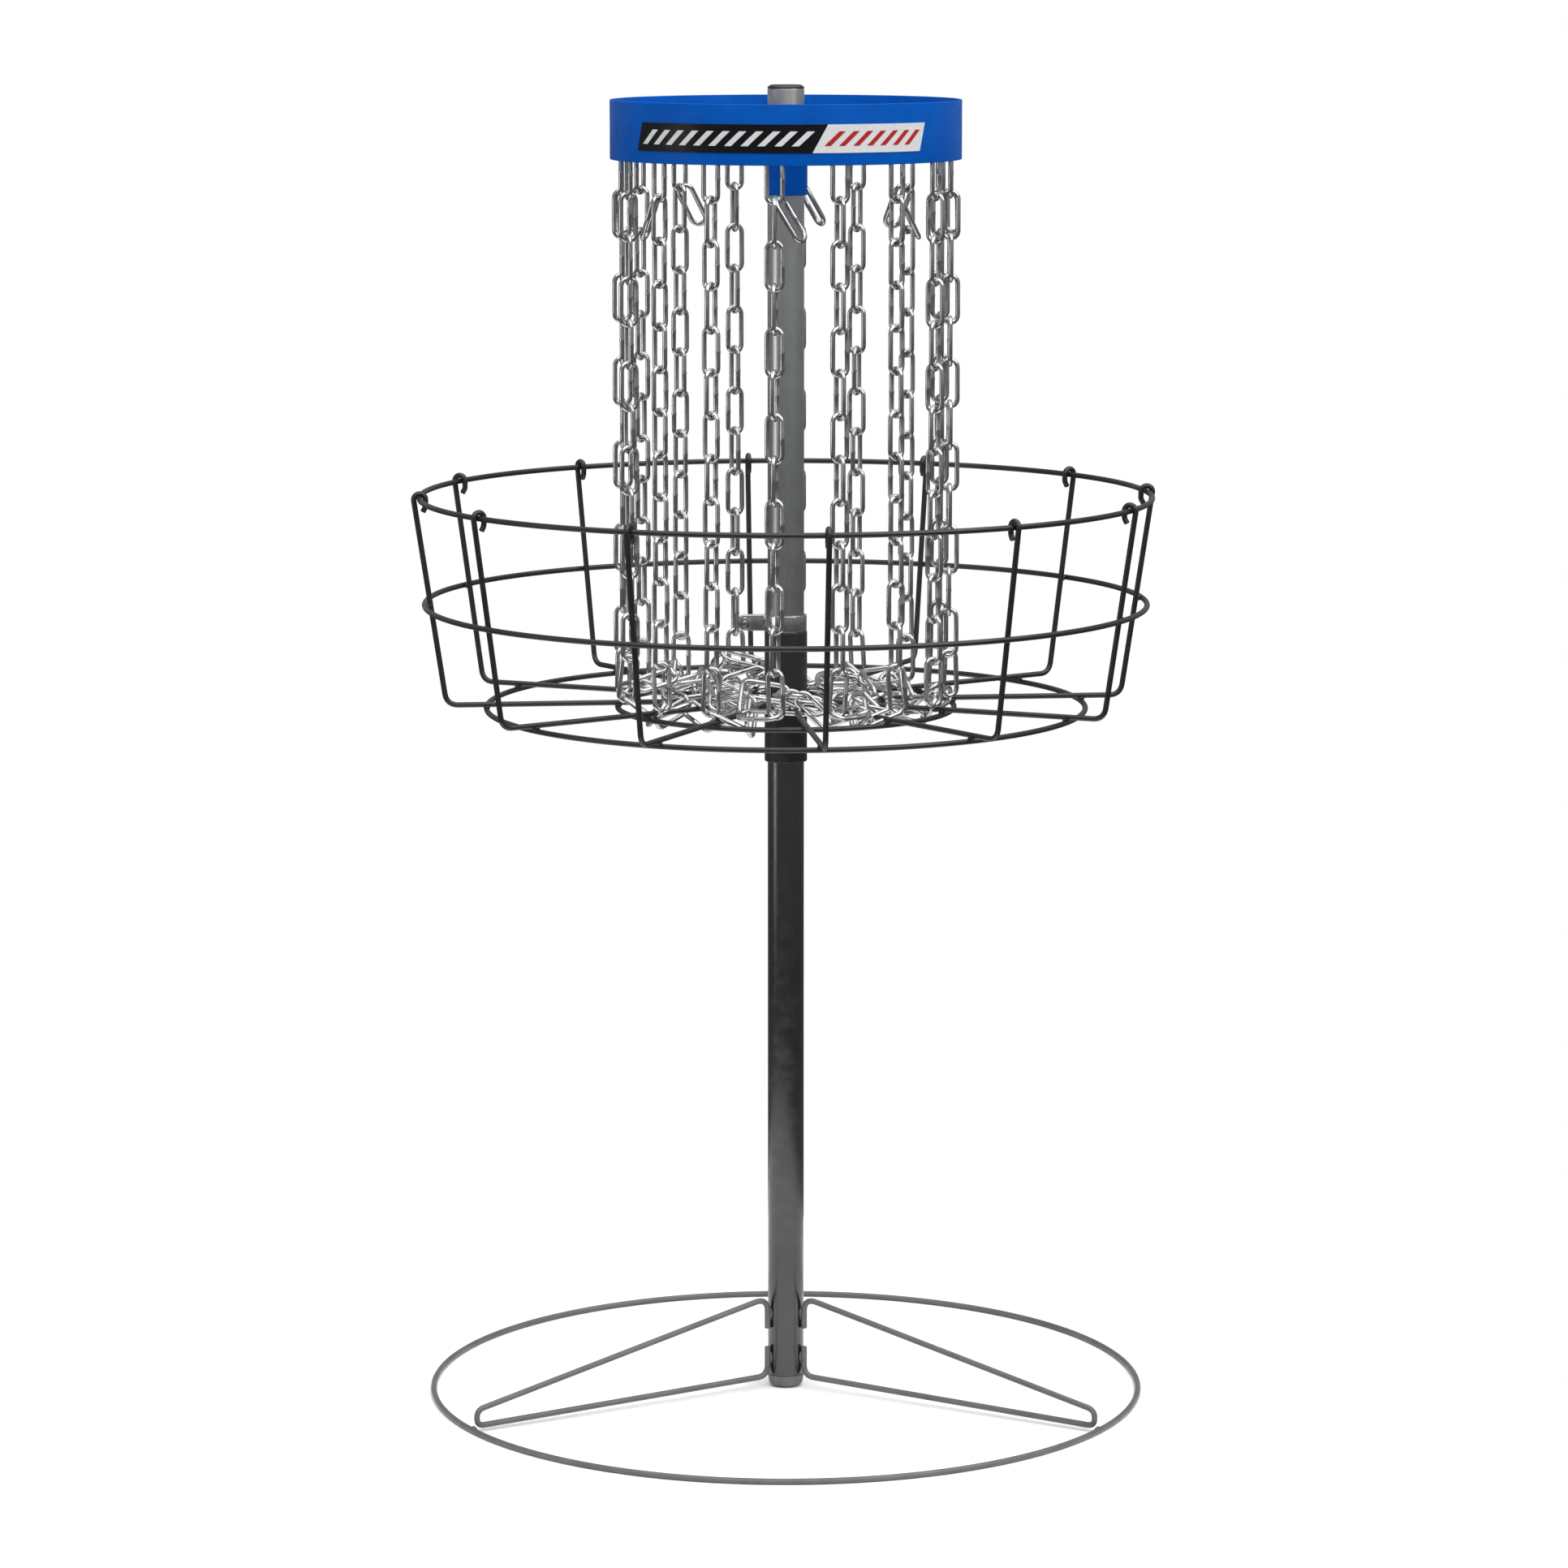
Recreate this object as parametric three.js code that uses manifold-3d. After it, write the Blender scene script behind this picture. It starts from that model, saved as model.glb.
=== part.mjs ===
// Disc golf basket: a steel wire basket on a pole, with a ring of hanging chains under a sheet-metal band.
// Millimetres, +Z up. The origin is on the floor, on the axis of the pole.
// The front is at -Y, and angles run anticlockwise from +X when seen from above.

import * as THREE from 'three'
import { mergeVertices } from 'three/addons/utils/BufferGeometryUtils.js'
import Module from 'manifold-3d'

const wasm = await Module()
wasm.setup()

// ---------------------------------------------------------------- driving dimensions

const GAP = 0.3                     // left between pieces that touch or are welded together
const WIRE_R = 2.4                  // 3/16 in wire of the basket and the chain rack
const BASE_WIRE_R = 2.6
const WIRE_SIDES = 8
const TUBE_SIDES = 20
const RING_STEPS = 48
const BEND_STEPS = 4                // flats along each bend of a wire

const POLE_R = 15.875               // 1 1/4 in tube
const POLE_WALL = 1.5
const POLE_BORE_R = POLE_R - POLE_WALL
const SLEEVE_R = 18.6
const SLEEVE_BORE_R = POLE_R + GAP

const BASE_RING_R = 313.5
const LEG_COUNT = 3
const LEG_FIRST_ANGLE = 90
const LEG_TOP_Z = 82                // where the upper run of a leg would meet the pole
const LEG_END_Z = 19.2              // where it would meet the short upright at the ring
const LEG_TAB_ENDS_Z = [54, 37.4]   // free ends of the upper and lower tabs on the pole
const FOOT_HEAD_HEIGHT = 11

const RIB_COUNT = 12
const RIB_FIRST_ANGLE = 6.3
const RIM_R = 318
const RIM_Z = 796.3
const SIDE_LEAN = 8.5               // degrees between a rib's upright run and the vertical
const MIDDLE_RING_Z = 703.2
const FLOOR_Z = 617                 // middle of the ribs' floor runs
const FLOOR_RING_R = 261.5
const INNER_RING_R = 147
const BASKET_SLEEVE_Z = [563.5, 678]
const STOP_HEIGHT = 4

const CLAMP_HEIGHT = 14
const CLAMP_THICKNESS = 2
const CLAMP_BOLT_X = -35.5
const EAR_END_R = 6.8
const EAR_SPLIT = 4
const BOLT_R = 3                    // M6
const HEX_ACROSS_FLATS = 10

const STRAND_COUNT = 16
const STRAND_FIRST_ANGLE = -93.8
const STRAND_R = 142                // from the pole's axis to the line of a hanging strand
const LINK_WIDTH = 17.5
const STRAND_WALL = 0.74            // a sleeve of this wall weighs as much as the 4.2 mm chain inside it
const STRAND_TOP_DROP = 4           // below the rod, so that a swung strand stays clear of the band
const COLLECTOR_R = 42
const COLLECTOR_WIRE_R = 2.5
const SLACK_R = [58, 150]           // the loose chain lies on the floor between these radii
const SLACK_HEIGHT = 25
const SLACK_WALL = 1.65             // weighs as much as seven loose links for each strand

const BAND_R = 151.5
const BAND_THICKNESS = 1.5
const BAND_Z = [1087.5, 1138.3]
const HUB_Z = [1056.5, 1120]
const ROD_Z = 1091.5
const SET_BOLT_Z = 1107
const SET_BOLT_LENGTH = 5
const LABEL_ANGLES = [-144, -41]
const LABEL_Z = [1098, 1121.7]
const LABEL_THICKNESS = 0.5
const UPPER_POLE_TOP_Z = 1147.5
const CAP_HEAD_HEIGHT = 3

// ---------------------------------------------------------------- finishes

function finish(color, roughness, metalness) {
  return new THREE.MeshStandardMaterial({ color, roughness, metalness })
}

const FINISHES = {
  blackCoat: finish(0x1d1e1c, 0.45, 0.1),
  greyCoat: finish(0x565a58, 0.5, 0.2),
  blueCoat: finish(0x0b5cc4, 0.4, 0.1),
  zinc: finish(0x9c9d99, 0.4, 0.9),
  brightZinc: finish(0xc4c5c2, 0.3, 1.0),
  blackPlastic: finish(0x202124, 0.6, 0.0),
  label: finish(0x2a2c30, 0.5, 0.0),
}

// ---------------------------------------------------------------- shape helpers

const model = new THREE.Group()

function addPart(name, geometry, material, angle = 0) {
  const mesh = new THREE.Mesh(geometry, material)
  mesh.name = name
  mesh.rotation.z = THREE.MathUtils.degToRad(angle)
  model.add(mesh)
  return mesh
}

// A point at a radius and a height, in the upright plane through the pole and +X.
function upright(radius, z) {
  return new THREE.Vector3(radius, 0, z)
}

// A point at a radius and an angle in degrees, at a height.
function polar(radius, angle, z) {
  const turn = THREE.MathUtils.degToRad(angle)
  return new THREE.Vector3(radius * Math.cos(turn), radius * Math.sin(turn), z)
}

// An outline of [radius, height] points turned about the pole's axis.
// A closed outline is given anticlockwise and its first point is repeated.
function turned(outline, sides = TUBE_SIDES, closed = true) {
  const points = outline.map(([radius, z]) => new THREE.Vector2(radius, z))
  if (closed) points.push(points[0].clone())
  return new THREE.LatheGeometry(points, sides).rotateX(Math.PI / 2)
}

function tube(outerR, innerR, [bottom, top], sides = TUBE_SIDES) {
  return turned([[outerR, bottom], [outerR, top], [innerR, top], [innerR, bottom]], sides)
}

// The corners of a wire's section: flats, not corners, lie above, below and to each side.
function wireSection(wireR) {
  const cornerR = wireR / Math.cos(Math.PI / WIRE_SIDES)
  return Array.from({ length: WIRE_SIDES }, (_, i) => {
    const turn = (2 * Math.PI * (i + 0.5)) / WIRE_SIDES
    return [cornerR * Math.cos(turn), cornerR * Math.sin(turn)]
  })
}

function wireRing(radius, z, wireR = WIRE_R, steps = RING_STEPS) {
  return turned(wireSection(wireR).map(([x, y]) => [radius + x, z + y]), steps)
}

// The centre line of a bent wire, with its stations exactly where the bends need them.
class WireRoute extends THREE.Curve {
  constructor(stations) {
    super()
    this.stations = stations
  }

  getPoint(t, target = new THREE.Vector3()) {
    const place = t * (this.stations.length - 1)
    const index = Math.min(Math.floor(place), this.stations.length - 2)
    return target.lerpVectors(this.stations[index], this.stations[index + 1], place - index)
  }

  getPointAt(u, target) {
    return this.getPoint(u, target)
  }

  // Half way between the directions of the two spans that meet at the nearest station.
  getTangentAt(u, target = new THREE.Vector3()) {
    const last = this.stations.length - 1
    const index = Math.round(u * last)
    const here = this.stations[index]
    const arriving = here.clone().sub(this.stations[Math.max(index - 1, 0)]).normalize()
    const leaving = this.stations[Math.min(index + 1, last)].clone().sub(here).normalize()
    return target.copy(arriving).add(leaving).normalize()
  }
}

// Stations round one corner of a wire, on an arc that is tangent to both of its spans.
function bend(before, corner, after, radius) {
  const back = before.clone().sub(corner).normalize()
  const ahead = after.clone().sub(corner).normalize()
  const halfAngle = back.angleTo(ahead) / 2
  const inward = back.clone().add(ahead).normalize()
  const centre = corner.clone().addScaledVector(inward, radius / Math.sin(halfAngle))
  const start = corner.clone().addScaledVector(back, radius / Math.tan(halfAngle))
  const axis = ahead.clone().cross(back).normalize()
  const sweep = Math.PI - 2 * halfAngle
  return Array.from({ length: BEND_STEPS + 1 }, (_, i) =>
    start.clone().sub(centre).applyAxisAngle(axis, (sweep * i) / BEND_STEPS).add(centre))
}

function sweptWire(stations, wireR = WIRE_R) {
  const section = new THREE.Shape(wireSection(wireR).map(([x, y]) => new THREE.Vector2(x, y)))
  return new THREE.ExtrudeGeometry(section, {
    steps: stations.length - 1,
    extrudePath: new WireRoute(stations),
    bevelEnabled: false,
  })
}

// A wire bent at each inner corner of its route.
function bentStations(corners, bendR) {
  const inner = corners.slice(1, -1)
  const bends = inner.flatMap((corner, i) => bend(corners[i], corner, corners[i + 2], bendR))
  return [corners[0], ...bends, corners[corners.length - 1]]
}

function toSolid(geometry) {
  const bare = geometry.clone()
  bare.deleteAttribute('normal')
  bare.deleteAttribute('uv')
  const merged = mergeVertices(bare, 1e-4)
  return new wasm.Manifold(new wasm.Mesh({
    numProp: 3,
    vertProperties: new Float32Array(merged.attributes.position.array),
    triVerts: new Uint32Array(merged.index.array),
  }))
}

function toGeometry(solid) {
  const { vertProperties, triVerts } = solid.getMesh()
  const geometry = new THREE.BufferGeometry()
  geometry.setAttribute('position', new THREE.BufferAttribute(vertProperties, 3))
  geometry.setIndex(new THREE.BufferAttribute(triVerts, 1))
  geometry.computeVertexNormals()
  return geometry
}

function extruded(shape, depth, curveSegments = 6) {
  return new THREE.ExtrudeGeometry(shape, { depth, bevelEnabled: false, curveSegments })
}

// ---------------------------------------------------------------- base

function baseRing() {
  return wireRing(BASE_RING_R, BASE_WIRE_R, BASE_WIRE_R)
}

// One wire: down the pole, out and down to the ring, back along the floor and up the pole.
function baseLeg() {
  const tabR = POLE_R + GAP + BASE_WIRE_R
  const outerR = BASE_RING_R - 2 * BASE_WIRE_R - GAP
  return sweptWire(bentStations([
    upright(tabR, LEG_TAB_ENDS_Z[0]),
    upright(tabR, LEG_TOP_Z),
    upright(outerR, LEG_END_Z),
    upright(outerR, 2 * BASE_WIRE_R),
    upright(tabR, 4 * BASE_WIRE_R),
    upright(tabR, LEG_TAB_ENDS_Z[1]),
  ], 2.5 * BASE_WIRE_R), BASE_WIRE_R)
}

function footPlug() {
  const shankR = POLE_BORE_R - GAP
  return turned([
    [0, 0],
    [0.72 * POLE_R, 0],
    [0.86 * POLE_R, 0.12 * FOOT_HEAD_HEIGHT],
    [0.96 * POLE_R, 0.45 * FOOT_HEAD_HEIGHT],
    [POLE_R, FOOT_HEAD_HEIGHT],
    [shankR, FOOT_HEAD_HEIGHT],
    [shankR, 2 * FOOT_HEAD_HEIGHT],
    [0, 2 * FOOT_HEAD_HEIGHT],
  ], TUBE_SIDES, false)
}

function lowerPole() {
  return tube(POLE_R, POLE_BORE_R, [FOOT_HEAD_HEIGHT + GAP, FLOOR_Z - STOP_HEIGHT - GAP])
}

// ---------------------------------------------------------------- basket

const HOOK_R = 2 * WIRE_R + GAP     // centre line of a rib's hook round the rim wire
const lean = THREE.MathUtils.degToRad(SIDE_LEAN)

// Radius of the ribs' upright runs at a height.
function sideRadius(z) {
  const hookStartR = RIM_R + HOOK_R * Math.cos(lean)
  const hookStartZ = RIM_Z - HOOK_R * Math.sin(lean)
  return hookStartR - (hookStartZ - z) * Math.tan(lean)
}

// A rib runs out from the sleeve, up the side, over the rim wire and down inside it, curling back.
function basketRib() {
  const hookSteps = 7
  const floorStart = upright(SLEEVE_R + GAP, FLOOR_Z)
  const corner = upright(sideRadius(FLOOR_Z), FLOOR_Z)
  const sideTop = upright(sideRadius(RIM_Z), RIM_Z)
  const hook = Array.from({ length: hookSteps + 1 }, (_, i) => {
    const turn = -lean + ((Math.PI + lean) * i) / hookSteps
    return upright(RIM_R + HOOK_R * Math.cos(turn), RIM_Z + HOOK_R * Math.sin(turn))
  })
  const curl = [
    upright(RIM_R - 0.85 * HOOK_R, RIM_Z - 1.2 * HOOK_R),
    upright(RIM_R - 0.5 * HOOK_R, RIM_Z - 2.1 * HOOK_R),
  ]
  return sweptWire([floorStart, ...bend(floorStart, corner, sideTop, 5 * WIRE_R), ...hook, ...curl])
}

function middleRing() {
  const radius = sideRadius(MIDDLE_RING_Z) + HOOK_R / Math.cos(lean)
  return wireRing(radius, MIDDLE_RING_Z)
}

function ringUnderFloor(radius) {
  return wireRing(radius, FLOOR_Z - 2 * WIRE_R - GAP)
}

// Inside the sleeve, between the ends of the two poles.
function sleeveStop() {
  const middle = [FLOOR_Z - STOP_HEIGHT, FLOOR_Z]
  return tube(SLEEVE_BORE_R * Math.cos(Math.PI / TUBE_SIDES) - GAP, POLE_BORE_R - 2, middle)
}

// The chain that lies loose on the floor: a low ring with the chain's outline and weight, open below.
function chainSlack() {
  const bottom = FLOOR_Z + WIRE_R + GAP
  const top = bottom + SLACK_HEIGHT
  const [innerR, outerR] = SLACK_R
  return turned([
    [outerR - SLACK_WALL, bottom],
    [outerR, bottom],
    [outerR, top],
    [innerR, top],
    [innerR, bottom],
    [innerR + SLACK_WALL, bottom],
    [innerR + SLACK_WALL, top - SLACK_WALL],
    [outerR - SLACK_WALL, top - SLACK_WALL],
  ], RING_STEPS / 2)
}

function chainCollector() {
  return wireRing(COLLECTOR_R, FLOOR_Z + WIRE_R + COLLECTOR_WIRE_R + GAP, COLLECTOR_WIRE_R, RING_STEPS / 2)
}

// ---------------------------------------------------------------- upper pole and its clamp

function upperPole() {
  return tube(POLE_R, POLE_BORE_R, [FLOOR_Z + GAP, UPPER_POLE_TOP_Z])
}

function poleCap() {
  const shankR = POLE_BORE_R - GAP
  const seat = UPPER_POLE_TOP_Z + GAP
  const top = seat + CAP_HEAD_HEIGHT
  return turned([
    [0, seat - 12],
    [shankR, seat - 12],
    [shankR, seat],
    [POLE_R, seat],
    [POLE_R, seat + 0.4 * CAP_HEAD_HEIGHT],
    [0.9 * POLE_R, seat + 0.85 * CAP_HEAD_HEIGHT],
    [0.7 * POLE_R, top],
    [0, top],
  ], TUBE_SIDES, false)
}

const clampBottomZ = BASKET_SLEEVE_Z[1] + GAP
const clampMiddleZ = clampBottomZ + CLAMP_HEIGHT / 2
const earOuterY = EAR_SPLIT / 2 + CLAMP_THICKNESS

// A strip bent round the pole, with two flat ears that the bolt draws together.
function clampBand() {
  const innerR = POLE_R + GAP
  const outerR = innerR + CLAMP_THICKNESS
  const earTip = CLAMP_BOLT_X - EAR_END_R
  const innerTurn = Math.PI - Math.asin(EAR_SPLIT / 2 / innerR)
  const outerTurn = Math.PI - Math.asin(earOuterY / outerR)
  const plan = new THREE.Shape()
  plan.moveTo(earTip, -earOuterY)
  plan.absarc(0, 0, outerR, -outerTurn, outerTurn, false)
  plan.lineTo(earTip, earOuterY)
  plan.lineTo(earTip, EAR_SPLIT / 2)
  plan.absarc(0, 0, innerR, innerTurn, -innerTurn, true)
  plan.lineTo(earTip, -EAR_SPLIT / 2)
  const strip = toSolid(extruded(plan, CLAMP_HEIGHT, 14).translate(0, 0, clampBottomZ))

  const side = new THREE.Shape()
  const half = CLAMP_HEIGHT / 2 + 1
  side.moveTo(2 * outerR, -half)
  side.lineTo(2 * outerR, half)
  side.lineTo(-outerR - 2, half)
  side.absarc(CLAMP_BOLT_X, 0, EAR_END_R, Math.PI / 2, 1.5 * Math.PI, false)
  side.lineTo(-outerR - 2, -half)
  const outline = toSolid(alongY(extruded(side, 4 * outerR), 2 * outerR))

  const hole = toSolid(alongY(new THREE.CylinderGeometry(BOLT_R + GAP, BOLT_R + GAP, 40, 12)
    .rotateX(Math.PI / 2).translate(CLAMP_BOLT_X, 0, 0), 0))
  return toGeometry(strip.intersect(outline).subtract(hole))
}

// Stands a shape drawn in x and height up along Y, starting at y and running towards -Y.
function alongY(geometry, y) {
  return geometry.rotateX(Math.PI / 2).translate(0, y, clampMiddleZ)
}

function hexagon() {
  const cornerR = HEX_ACROSS_FLATS / Math.sqrt(3)
  const corners = Array.from({ length: 6 }, (_, i) => {
    const turn = ((i + 0.5) * Math.PI) / 3
    return new THREE.Vector2(cornerR * Math.cos(turn), cornerR * Math.sin(turn))
  })
  return new THREE.Shape(corners)
}

// A hexagon head with its shank, along +Z from the outer face of the head.
function hexBolt(shankLength) {
  const headHeight = 4
  const head = toSolid(extruded(hexagon(), headHeight))
  const shank = toSolid(new THREE.CylinderGeometry(BOLT_R, BOLT_R, shankLength + 1, 12)
    .rotateX(Math.PI / 2).translate(0, 0, headHeight - 1 + (shankLength + 1) / 2))
  return { geometry: toGeometry(head.add(shank)), headHeight }
}

function clampBolt() {
  const pastEars = 8
  const { geometry, headHeight } = hexBolt(2 * earOuterY + pastEars)
  return geometry.rotateX(Math.PI / 2)
    .translate(CLAMP_BOLT_X, earOuterY + GAP + headHeight, clampMiddleZ)
}

function clampNut() {
  const thickness = 5
  const plan = hexagon()
  plan.holes.push(new THREE.Path().absarc(0, 0, BOLT_R + GAP, 0, 2 * Math.PI, true))
  return extruded(plan, thickness).rotateX(Math.PI / 2)
    .translate(CLAMP_BOLT_X, -earOuterY - GAP, clampMiddleZ)
}

// ---------------------------------------------------------------- top

// The hub is drilled and tapped at the back for its set bolt.
function topHub() {
  const sleeve = toSolid(tube(SLEEVE_R, SLEEVE_BORE_R, HUB_Z))
  const hole = toSolid(new THREE.CylinderGeometry(BOLT_R + GAP, BOLT_R + GAP, 2 * SLEEVE_R, 12)
    .translate(0, SLEEVE_R, SET_BOLT_Z))
  return toGeometry(sleeve.subtract(hole))
}

function hubSetBolt() {
  const tipY = POLE_R + 2 * GAP
  const { geometry, headHeight } = hexBolt(SET_BOLT_LENGTH)
  return geometry.rotateX(Math.PI / 2).translate(0, tipY + SET_BOLT_LENGTH + headHeight, SET_BOLT_Z)
}

function topBand() {
  return tube(BAND_R, BAND_R - BAND_THICKNESS, BAND_Z, RING_STEPS)
}

// One wire: out from the hub, along the inside of the band, and back to the hub.
function rackRod() {
  const step = 360 / STRAND_COUNT
  const hubR = SLEEVE_R + GAP
  const outerR = BAND_R - BAND_THICKNESS - 2 * GAP - WIRE_R
  return sweptWire(bentStations([
    polar(hubR, 0, ROD_Z),
    polar(outerR, 0, ROD_Z),
    polar(outerR, step / 2, ROD_Z),
    polar(outerR, step, ROD_Z),
    polar(hubR, step, ROD_Z),
  ], 1.6 * WIRE_R))
}

function topLabel() {
  const [start, end] = LABEL_ANGLES.map(THREE.MathUtils.degToRad)
  const plan = new THREE.Shape()
  plan.absarc(0, 0, BAND_R + GAP + LABEL_THICKNESS, start, end, false)
  plan.absarc(0, 0, BAND_R + GAP, end, start, true)
  return extruded(plan, LABEL_Z[1] - LABEL_Z[0], 18).translate(0, 0, LABEL_Z[0])
}

// One hanging strand: an eight-sided sleeve with the outline and the weight of the linked chain.
function chainStrand() {
  const top = ROD_Z - WIRE_R - STRAND_TOP_DROP
  const bottom = FLOOR_Z + WIRE_R + SLACK_HEIGHT + 3.6
  const cornerR = LINK_WIDTH / 2 / Math.cos(Math.PI / WIRE_SIDES)
  return tube(cornerR, cornerR - STRAND_WALL, [bottom, top], WIRE_SIDES)
    .rotateZ(Math.PI / WIRE_SIDES)
    .translate(STRAND_R, 0, 0)
}

// ---------------------------------------------------------------- assembly

function twoDigits(number) {
  return String(number).padStart(2, '0')
}

addPart('base_ring', baseRing(), FINISHES.greyCoat)
for (let i = 0; i < LEG_COUNT; i += 1) {
  addPart(`base_leg_${i + 1}`, baseLeg(), FINISHES.greyCoat, LEG_FIRST_ANGLE + (360 / LEG_COUNT) * i)
}
addPart('foot_plug', footPlug(), FINISHES.greyCoat)
addPart('lower_pole', lowerPole(), FINISHES.greyCoat)

addPart('basket_sleeve', tube(SLEEVE_R, SLEEVE_BORE_R, BASKET_SLEEVE_Z), FINISHES.blackCoat)
addPart('sleeve_stop', sleeveStop(), FINISHES.blackCoat)
addPart('rim_ring', wireRing(RIM_R, RIM_Z), FINISHES.blackCoat, RIB_FIRST_ANGLE)
addPart('middle_ring', middleRing(), FINISHES.blackCoat, RIB_FIRST_ANGLE)
addPart('floor_ring', ringUnderFloor(FLOOR_RING_R), FINISHES.blackCoat, RIB_FIRST_ANGLE)
addPart('inner_floor_ring', ringUnderFloor(INNER_RING_R), FINISHES.blackCoat, RIB_FIRST_ANGLE)
for (let i = 0; i < RIB_COUNT; i += 1) {
  const angle = RIB_FIRST_ANGLE + (360 / RIB_COUNT) * i
  addPart(`basket_rib_${twoDigits(i + 1)}`, basketRib(), FINISHES.blackCoat, angle)
}
addPart('chain_slack', chainSlack(), FINISHES.brightZinc)
addPart('chain_collector', chainCollector(), FINISHES.brightZinc)

addPart('upper_pole', upperPole(), FINISHES.zinc)
addPart('pole_cap', poleCap(), FINISHES.blackPlastic)
addPart('clamp_band', clampBand(), FINISHES.brightZinc)
addPart('clamp_bolt', clampBolt(), FINISHES.brightZinc)
addPart('clamp_nut', clampNut(), FINISHES.brightZinc)

addPart('top_hub', topHub(), FINISHES.blueCoat)
addPart('hub_set_bolt', hubSetBolt(), FINISHES.brightZinc)
addPart('top_band', topBand(), FINISHES.blueCoat)
addPart('top_label', topLabel(), FINISHES.label)
for (let i = 0; i < STRAND_COUNT / 2; i += 1) {
  const angle = STRAND_FIRST_ANGLE + (720 / STRAND_COUNT) * i
  addPart(`rack_rod_${i + 1}`, rackRod(), FINISHES.blueCoat, angle)
}
for (let i = 0; i < STRAND_COUNT; i += 1) {
  const angle = STRAND_FIRST_ANGLE + (360 / STRAND_COUNT) * i
  addPart(`chain_${twoDigits(i + 1)}`, chainStrand(), FINISHES.brightZinc, angle)
}

export default model
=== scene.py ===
"""The looks of a disc golf basket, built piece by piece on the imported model.

Metres, +Z up, the front at -Y. Angles are turned anticlockwise from +X, seen from above.
"""

import math

import bmesh
import bpy
import numpy as np
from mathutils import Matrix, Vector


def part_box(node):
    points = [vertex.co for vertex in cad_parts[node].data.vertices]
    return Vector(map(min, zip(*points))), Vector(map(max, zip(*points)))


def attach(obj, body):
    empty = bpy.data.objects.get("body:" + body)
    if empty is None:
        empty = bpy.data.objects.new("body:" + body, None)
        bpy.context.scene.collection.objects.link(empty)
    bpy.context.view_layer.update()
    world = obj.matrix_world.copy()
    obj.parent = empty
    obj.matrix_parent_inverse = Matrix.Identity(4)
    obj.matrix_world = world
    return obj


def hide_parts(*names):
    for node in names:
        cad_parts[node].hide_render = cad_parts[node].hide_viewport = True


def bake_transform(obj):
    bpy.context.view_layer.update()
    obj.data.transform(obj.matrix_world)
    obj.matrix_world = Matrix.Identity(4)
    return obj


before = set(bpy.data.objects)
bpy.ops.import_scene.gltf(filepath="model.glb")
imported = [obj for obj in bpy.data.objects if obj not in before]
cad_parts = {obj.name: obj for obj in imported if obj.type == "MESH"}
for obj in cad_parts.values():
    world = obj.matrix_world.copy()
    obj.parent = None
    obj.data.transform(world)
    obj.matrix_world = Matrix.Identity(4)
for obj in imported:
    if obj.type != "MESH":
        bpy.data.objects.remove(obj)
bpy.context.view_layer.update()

MM = 0.001
TINY = 1e-6
UP = np.array([0.0, 0.0, 1.0])
rng = np.random.default_rng(41)


# ---------------------------------------------------------------- sizes read from the frame


def points_of(node):
    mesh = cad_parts[node].data
    points = np.empty(3 * len(mesh.vertices))
    mesh.vertices.foreach_get("co", points)
    return points.reshape(-1, 3)


def reaches(node):
    """Least and greatest distance of a node from the pole's axis."""
    radii = np.hypot(points_of(node)[:, 0], points_of(node)[:, 1])
    return float(radii.min()), float(radii.max())


def heights(node):
    low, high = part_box(node)
    return low.z, high.z


def middle_z(node):
    return sum(heights(node)) / 2


def middle_reach(node):
    return sum(reaches(node)) / 2


def heading(node):
    """Direction of a node from the pole, in radians."""
    x, y, _ = points_of(node).mean(axis=0)
    return math.atan2(y, x)


def names_of(prefix):
    return sorted(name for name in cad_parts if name.startswith(prefix))


GAP = 0.3 * MM
WIRE = (heights("rim_ring")[1] - heights("rim_ring")[0]) / 2
BASE_WIRE = (heights("base_ring")[1] - heights("base_ring")[0]) / 2
POLE_R = reaches("lower_pole")[1]
BORE_R = reaches("lower_pole")[0]
SLEEVE_R = reaches("basket_sleeve")[1]
SLEEVE_BORE_R = POLE_R + GAP
RIBS = [heading(name) for name in names_of("basket_rib_")]
FLOOR_Z = middle_z("floor_ring") + 2 * WIRE + GAP
RIM_R = middle_reach("rim_ring")
RIM_Z = middle_z("rim_ring")
ROD_Z = middle_z("rack_rod_1")
BOLT_R = 3 * MM
HEAD_HEIGHT = 4 * MM
WELD_WIDTH = 6 * MM

# The real links, which the CAD's plain sleeves and slack ring stand for.
CHAIN_WIRE = 2.1 * MM
LINK_PITCH = 36.2 * MM
LINK_LENGTH = LINK_PITCH + 4 * CHAIN_WIRE
LINK_WIDTH = 17.5 * MM
STRANDS = names_of("chain_0") + names_of("chain_1")
STRAND_STEP = 2 * math.pi / len(STRANDS)
STRAND_LINKS = 12
STRAND_R = middle_reach("chain_01")
REST_GAP = 0.2 * MM
STRAND_FIRST_TOP = ROD_Z + WIRE + CHAIN_WIRE + REST_GAP
STRAND_FOOT_Z = STRAND_FIRST_TOP - STRAND_LINKS * LINK_PITCH - CHAIN_WIRE
TAIL_LINKS = 7
TAIL_CLEARANCE = 12.5 * MM
SAG = 34 * MM
HEAP = 26 * MM


# ---------------------------------------------------------------- shapes: a shape is (points, faces)


def merged(shapes):
    """Several shapes as one."""
    points = []
    faces = []
    start = 0
    for shape_points, shape_faces in shapes:
        points.append(shape_points)
        faces.extend(tuple(start + corner for corner in face) for face in shape_faces)
        start += len(shape_points)
    return np.concatenate(points), faces


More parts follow.
